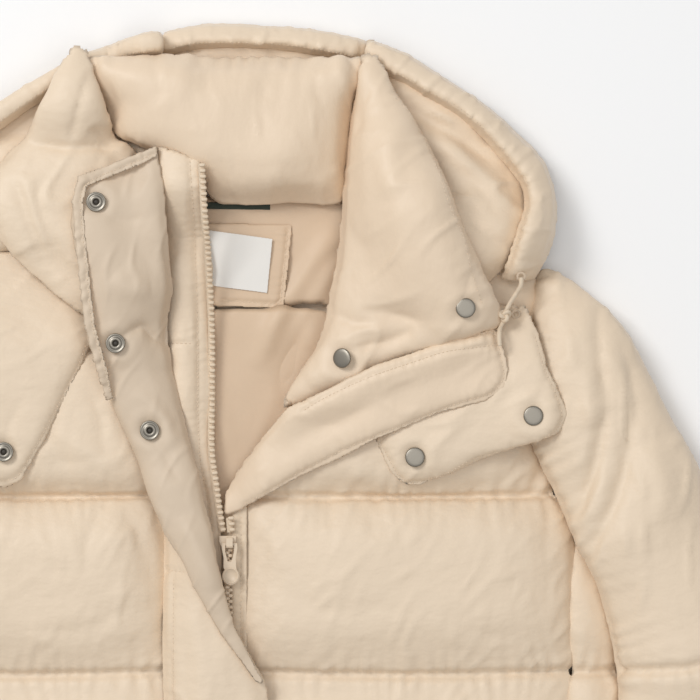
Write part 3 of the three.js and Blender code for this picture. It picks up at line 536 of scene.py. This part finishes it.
COLLAR_RIGHT_FOLDS = [
    ([(90, 130), (106, 134), (124, 138), (140, 146)], 5, -5), ([(98, 160), (122, 157), (147, 153)], 6, -3),
    ([(150, 150), (172, 148), (190, 158)], 7, 3), ([(128, 300), (122, 270), (124, 240)], 9, 3),
    ([(108, 336), (104, 310), (98, 286)], 6, -3), ([(80, 158), (96, 150), (110, 152)], 6, -3.5),
    ([(174, 167), (178, 184), (180, 192)], 5, -2), ([(60, 108), (80, 112), (104, 118)], 6, 2.5),
]
COLLAR_LEFT_FOLDS = [
    ([(-105, 341), (-109, 321), (-113, 305), (-118, 284)], 3, -2.5),
    ([(-147, 285), (-119, 281), (-98, 282), (-82, 276)], 5, -6), ([(-104, 298), (-92, 288), (-84, 280)], 5, -4),
    ([(-158, 258), (-148, 229), (-139, 205), (-125, 184)], 6, -5), ([(-142, 257), (-139, 233), (-125, 199), (-110, 170)], 6, -5),
    ([(-150, 262), (-144, 236), (-132, 206)], 7, 3), ([(-98, 268), (-84, 262), (-66, 266)], 7, 3),
]


def collar_back_shape(x, y):
    """A full roll with small puckers under its sewn top edge, which fade over the roll."""
    total = sewn(x, y, COLLAR_TOP, 0.002, 0.004, 0.002, 0.013, 0.016, 71) + folds(x, y, COLLAR_BACK_FOLDS)
    return total + 0.0013 * creases(x, y, 0.028, 72, 1.5) + 0.002 * ripple(x, y, 0.07, 72)


pillow("collar_back", FINE, collar_back_shape, lining, swell=0.004, grow=0.0005)
pillow("collar_left", 0.0025, rumpled(COLLAR_LEFT_FOLDS, 0.0022, 0.028, 75, 1.2))
pillow("collar_right", 0.0025, rumpled(COLLAR_RIGHT_FOLDS, 0.0019, 0.03, 73, 0.4), lining, grow=0.002)
pillow("guard_strip", THIN, rumpled([([(20, 24), (60, 52), (110, 80)], 8, 1.5)], 0.0009, 0.028, 77, 0.5), lining,
       swell=0.0005, calm=40, smooth=6)
LINING_FOLDS = [([(86, 224), (71, 207), (41, 161), (26, 129), (20, 115)], 7, 4), ([(85, 203), (63, 164), (58, 129)], 8, 3),
                ([(70, 170), (48, 128), (36, 96)], 6, -3), ([(-20, 120), (-8, 80), (0, 50)], 9, 1.5)]
pillow("neck_lining", FINE, rumpled(LINING_FOLDS, 0.0008, 0.04, 78, 1.0), lining_painted_shade, "lining", swell=0.0, calm=10)
pillow("neck_facing", TRIM, lambda x, y: 0.0004 * ripple(x, y, 0.05, 79), lining_painted_shade, "lining", 0.0, 10, smooth=6)

# ---------------------------------------------------------------------------------------------
# Storm flap and zip strip on the left front. The flap is turned open, so its duller underside and
# its bound edge show.
underside, underside_shader = principled("flap_underside_cloth", (0.67, 0.54, 0.405), 0.55)
bumped(underside, underside_shader, [(60, 0.3, 0.0025, (1, 1, 1)), (3200, 0.2, 0.00012, (1, 1, 1))])
FLAP_FOLDS = [([(-80, 139), (-64, 147), (-55, 140), (-44, 133)], 5, -5), ([(-97, 236), (-80, 226), (-60, 230)], 6, -1.5),
              ([(-84, 186), (-72, 176), (-58, 178)], 8, 2), ([(-70, 100), (-52, 84), (-38, 56)], 6, 2),
              ([(-58, 66), (-46, 50), (-36, 30)], 5, -2), ([(-34, 6), (-22, -20), (-8, -50)], 6, 2)]
pillow("zip_strip_left", THIN, rumpled([([(-38, 290), (-36, 200), (-34, 120), (-33, -40)], 13, 8)], 0.0009, 0.03, 81, 1.4),
       swell=0.0006, calm=40, smooth=6)
pillow("storm_flap_lower", 0.002, rumpled([([(-30, -60), (-20, -110), (-26, -170)], 8, 1.5)], 0.001, 0.03, 82, 1.4),
       swell=0.001, calm=40)
pillow("storm_flap_open", THIN, rumpled(FLAP_FOLDS, 0.0014, 0.028, 83, 1.2), underside, "flap_underside", swell=0.0008,
       calm=50, smooth=6)
pillow("flap_binding", 0.001, lambda x, y: 0.0007 * ripple(x, y, 0.009, 84), underside, "flap_underside", 0.0005, 8,
       smooth=6)

# ---------------------------------------------------------------------------------------------
# Zip: a tape, and coarse moulded teeth along its edge. Above the slider the left row stands open;
# below it two rows mesh.
plastic, plastic_shader = principled("moulded_plastic", (0.74, 0.60, 0.445), 0.38)
bumped(plastic, plastic_shader, [(900, 0.15, 0.0001, (1, 1, 1))])
tape, tape_shader = principled("zip_tape", (0.74, 0.60, 0.445), 0.65)
bumped(tape, tape_shader, [(2200, 0.3, 0.0002, (4, 1, 1))])
PITCH = 4.3 * MM
UP = np.array([0.0, 0.0, 1.0])


def node_points(node):
    """The corners of a node's solid, as an array."""
    mesh = frame["nodes"][node].data
    points = np.empty(len(mesh.vertices) * 3)
    mesh.vertices.foreach_get("co", points)
    return points.reshape(-1, 3)


def spine(node):
    """The middle of a strip's upper face: its corners in level rows, each row's mean x and greatest z."""
    points = node_points(node)
    rows = [points[np.abs(points[:, 1] - y) < 0.5 * MM] for y in np.unique(np.round(points[:, 1], 3))]
    return np.array([(row[:, 0].mean(), row[:, 1].mean(), row[:, 2].max()) for row in rows])


def axes_along(path, up):
    """For each point, unit vectors along the path, across it and out of the surface, as columns."""
    along = np.gradient(path, axis=0)
    along /= np.linalg.norm(along, axis=1, keepdims=True)
    across = np.cross(up, along)
    across /= np.linalg.norm(across, axis=1, keepdims=True)
    return np.stack([along, across, np.cross(along, across)], -1)


def blocks(name, centres, axes, size, square, sides=8, levels=4):
    """Copies of one rounded block, joined.

    The block is a sphere whose sines and cosines are raised to the power `square`, so that it fills
    its box, stretched to `size` (along, across, high), with its poles cut off flat.
    """
    lift = np.linspace(-0.42, 0.42, levels + 1)[:, None] * math.pi
    round_it = np.linspace(0, 2 * math.pi, sides, endpoint=False)[None, :]
    waves = [np.cos(lift) * np.cos(round_it), np.cos(lift) * np.sin(round_it), np.sin(lift) + 0 * round_it]
    unit = np.stack([np.sign(wave) * np.abs(wave) ** square for wave in waves], -1).reshape(-1, 3) / 2
    points = centres[:, None] + np.einsum("nij,mj->nmi", axes, unit * size)
    one = grid_faces(levels + 1, sides, True, True)
    faces = [[corner + start for corner in face] for start in range(0, len(centres) * len(unit), len(unit)) for face in one]
    return outward_mesh(name, points, faces)


def band(name, path, width, thick):
    """A flat tape along a path: four corners at each of its points, `thick` below it at most."""
    across = axes_along(path, UP)[:, :, 1] * width / 2
    drop = UP * thick
    corners = [path + across, path - across, path - across - drop, path + across - drop]
    return grid_mesh(name, np.stack(corners, 1), True, True)


def teeth(name, node, rows, size):
    """Teeth along a node's strip, on a woven band. Each row is (offset across, share of a pitch, parity)."""
    path = smooth_path(spine(node), 120)
    path[:, 2] -= 0.5 * size[2]
    centres, axes = [], []
    for offset, start in rows:
        stops = evenly(path, PITCH)
        if start:
            stops = (stops[:-1] + stops[1:]) / 2
        own = axes_along(stops, UP)
        centres.append(stops + offset * own[:, :, 1])
        axes.append(own)
    piece = place(name, blocks(name, np.concatenate(centres), np.concatenate(axes), size, 0.45), plastic, "zip_plastic")
    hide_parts(node)
    woven = band(name + "_band", path - BAND_SHIFT, 4.6 * MM, 0.8 * MM)
    place(name + "_band", woven, tape, "zip_tape")


BAND_SHIFT = np.array([1.2, 0, 0.7]) * MM
OPEN_TOOTH = np.array([2.7, 5.0, 2.4]) * MM
MESHED_TOOTH = np.array([2.6, 3.6, 2.4]) * MM
teeth("zip_teeth_open", "zip_teeth_left", [(0.0004, False)], OPEN_TOOTH)
teeth("zip_teeth_stub", "zip_teeth_right", [(-0.0004, False)], OPEN_TOOTH)
teeth("zip_teeth_meshed", "zip_chain", [(-0.0013, False), (0.0013, True)], MESHED_TOOTH)
pillow("zip_tape", TRIM, lambda x, y: 0.0003 * ripple(x, y, 0.04, 85), tape, "zip_tape", 0.0, 10, smooth=6)

# ---------------------------------------------------------------------------------------------
# Snaps: low nickel caps with a rolled edge, and sockets with a raised ring round a pit, whose dark
# floor is a near-black disc of painted shade. The pull tab has a raised ring on its round end.
metal, metal_shader = principled("brushed_nickel", (0.31, 0.283, 0.24), 0.4)
metal_shader.inputs["Metallic"].default_value = 1.0
bumped(metal, metal_shader, [(1500, 0.15, 0.00005, (1, 6, 1))])
# Near-black: painted shade for the inside of each socket's hole.
pit_shade, _ = principled("snap_pit", (0.05, 0.042, 0.033), 0.6)
CAP_PROFILE = [(7.1, 0), (7.4, 0.7), (7.35, 1.4), (7.0, 1.9), (6.3, 2.15), (4.5, 2.3), (2.5, 2.4), (0.2, 2.4)]
SOCKET_PROFILE = [(7.1, 0), (7.4, 0.7), (7.3, 1.4), (6.8, 1.8), (6.2, 1.7), (5.6, 1.3), (5.0, 1.3), (4.4, 1.9),
                  (3.4, 2.2), (2.5, 2.0), (2.1, 1.2), (2.0, 0.3), (0.2, 0.3)]
PIT_SHADE_PROFILE = [(1.95, 0.3), (1.9, 0.7), (0.2, 0.7)]
RING_PROFILE = [(6.1, 0), (6.1, 0.3), (5.8, 0.5), (5.3, 0.5), (5.0, 0.3), (4.9, 0.1), (0.2, 0.1)]


def turned(name, base, axis, profile, sides=36):
    """A round part: a profile of (radius, height) in millimetres, swept round an axis from its base."""
    first = np.cross(axis, (0, 1, 0))
    first /= np.linalg.norm(first)
    second = np.cross(axis, first)
    swing = np.linspace(0, 2 * math.pi, sides, endpoint=False)[None, :, None]
    radius, height = (np.array(profile) * MM).T[:, :, None, None]
    points = base + radius * (np.cos(swing) * first + np.sin(swing) * second) + height * axis
    return grid_mesh(name, points, True, True)


def disc_place(node):
    """The base point and axis of a disc: it is flattest along its axis, and its points spread least there."""
    points = node_points(node)
    centre = points.mean(axis=0)
    axis = np.linalg.svd(points - centre, full_matrices=False)[2][2]
    axis = axis * np.sign(axis[2])
    return centre + axis * ((points - centre) @ axis).min(), axis


CARRIERS = {"cap_collar": "collar_right", "cap_tab": "hood_tab_right", "socket_flap": "storm_flap_open",
            "socket_tab": "hood_tab_left"}
SNAP_SINK = 0.5 * MM
DROP_FROM = 0.2
depsgraph = bpy.context.evaluated_depsgraph_get()
for node in [name for name in frame["nodes"] if name.startswith(("cap_", "socket_"))]:
    base, axis = disc_place(node)
    is_cap = node.startswith("cap_")
    carrier = BVHTree.FromObject(cloth[CARRIERS[node.rsplit("_", 1)[0]]], depsgraph)
    base[2] = max(base[2], carrier.ray_cast((base[0], base[1], DROP_FROM), (0, 0, -1))[0][2] - SNAP_SINK)
    profile = CAP_PROFILE if is_cap else SOCKET_PROFILE
    snap = place(node + "_metal", turned(node, base, axis, profile), metal, "snap_metal")
    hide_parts(node)
    if not is_cap:
        # The socket's pit gets a near-black disc of painted shade.
        place(node + "_pit", turned(node + "_pit", base, axis, PIT_SHADE_PROFILE), pit_shade, "snap_metal")
PULL_END = np.array([2.0, -39.2]) * MM
pull_top = node_points("pull_tab")[:, 2].max()
place("pull_ring", turned("pull_ring", np.array([*PULL_END, pull_top]), UP, RING_PROFILE), plastic, "zip_plastic", "pull")

# ---------------------------------------------------------------------------------------------
# Label and hanging loop: a bare woven label on the neck facing, and a loop of green tape that
# comes out from under the collar. The eyelets keep their shape.
white, white_shader = principled("woven_label", (0.80, 0.78, 0.74), 0.6)
bumped(white, white_shader, [(2500, 0.3, 0.0001, (1, 4, 1))])
green, green_shader = principled("green_tape", (0.035, 0.05, 0.035), 0.7)
bumped(green, green_shader, [(2500, 0.4, 0.0002, (3, 1, 1))])
thread, thread_shader = principled("eyelet_thread", (0.60, 0.48, 0.355), 0.7)
bumped(thread, thread_shader, [(1800, 0.5, 0.0003, (1, 1, 1))])
pillow("neck_label", 0.0004, lambda x, y: 0.0002 * ripple(x, y, 0.03, 86), white, "label", 0.0, 0, 0.0)
pillow("hanging_loop", 0.0004, lambda x, y: 0.0003 * ripple(x, y, 0.02, 87), green, "loop_tape", 0.0, 0, 0.0)
FINISHES = {"zip_plastic": plastic, "eyelet_thread": thread}
for part in frame["record"]["subparts"]:
    node = frame["nodes"][part["node"]]
    if part["material_slot"] in FINISHES:
        node.data.materials.clear()
        node.data.materials.append(FINISHES[part["material_slot"]])

# ---------------------------------------------------------------------------------------------
# Stitches: short raised threads along every row of the table, each laid on the cloth below it.
sewing_thread, _ = principled("sewing_thread", (0.78, 0.63, 0.47), 0.6)
STITCH = np.array([2.2, 0.75, 0.6]) * MM
STITCH_PITCH = 3.1 * MM
centres, axes = [], []
for node, rows in STITCHES.items():
    tree = BVHTree.FromObject(cloth[node], depsgraph)
    for row in rows:
        hits = [tree.ray_cast((x, y, DROP_FROM), (0, 0, -1)) for x, y in evenly(np.array(row) * MM, STITCH_PITCH)]
        hits = [hit for hit in hits if hit[0] is not None]
        spots = np.array([hit[0] for hit in hits])
        outs = np.array([hit[1] for hit in hits])
        centres.append(spots)
        axes.append(axes_along(spots, outs))
stitches = blocks("stitches", np.concatenate(centres), np.concatenate(axes), STITCH, 1.0, 6, 2)
place("stitches", stitches, sewing_thread, "shell")
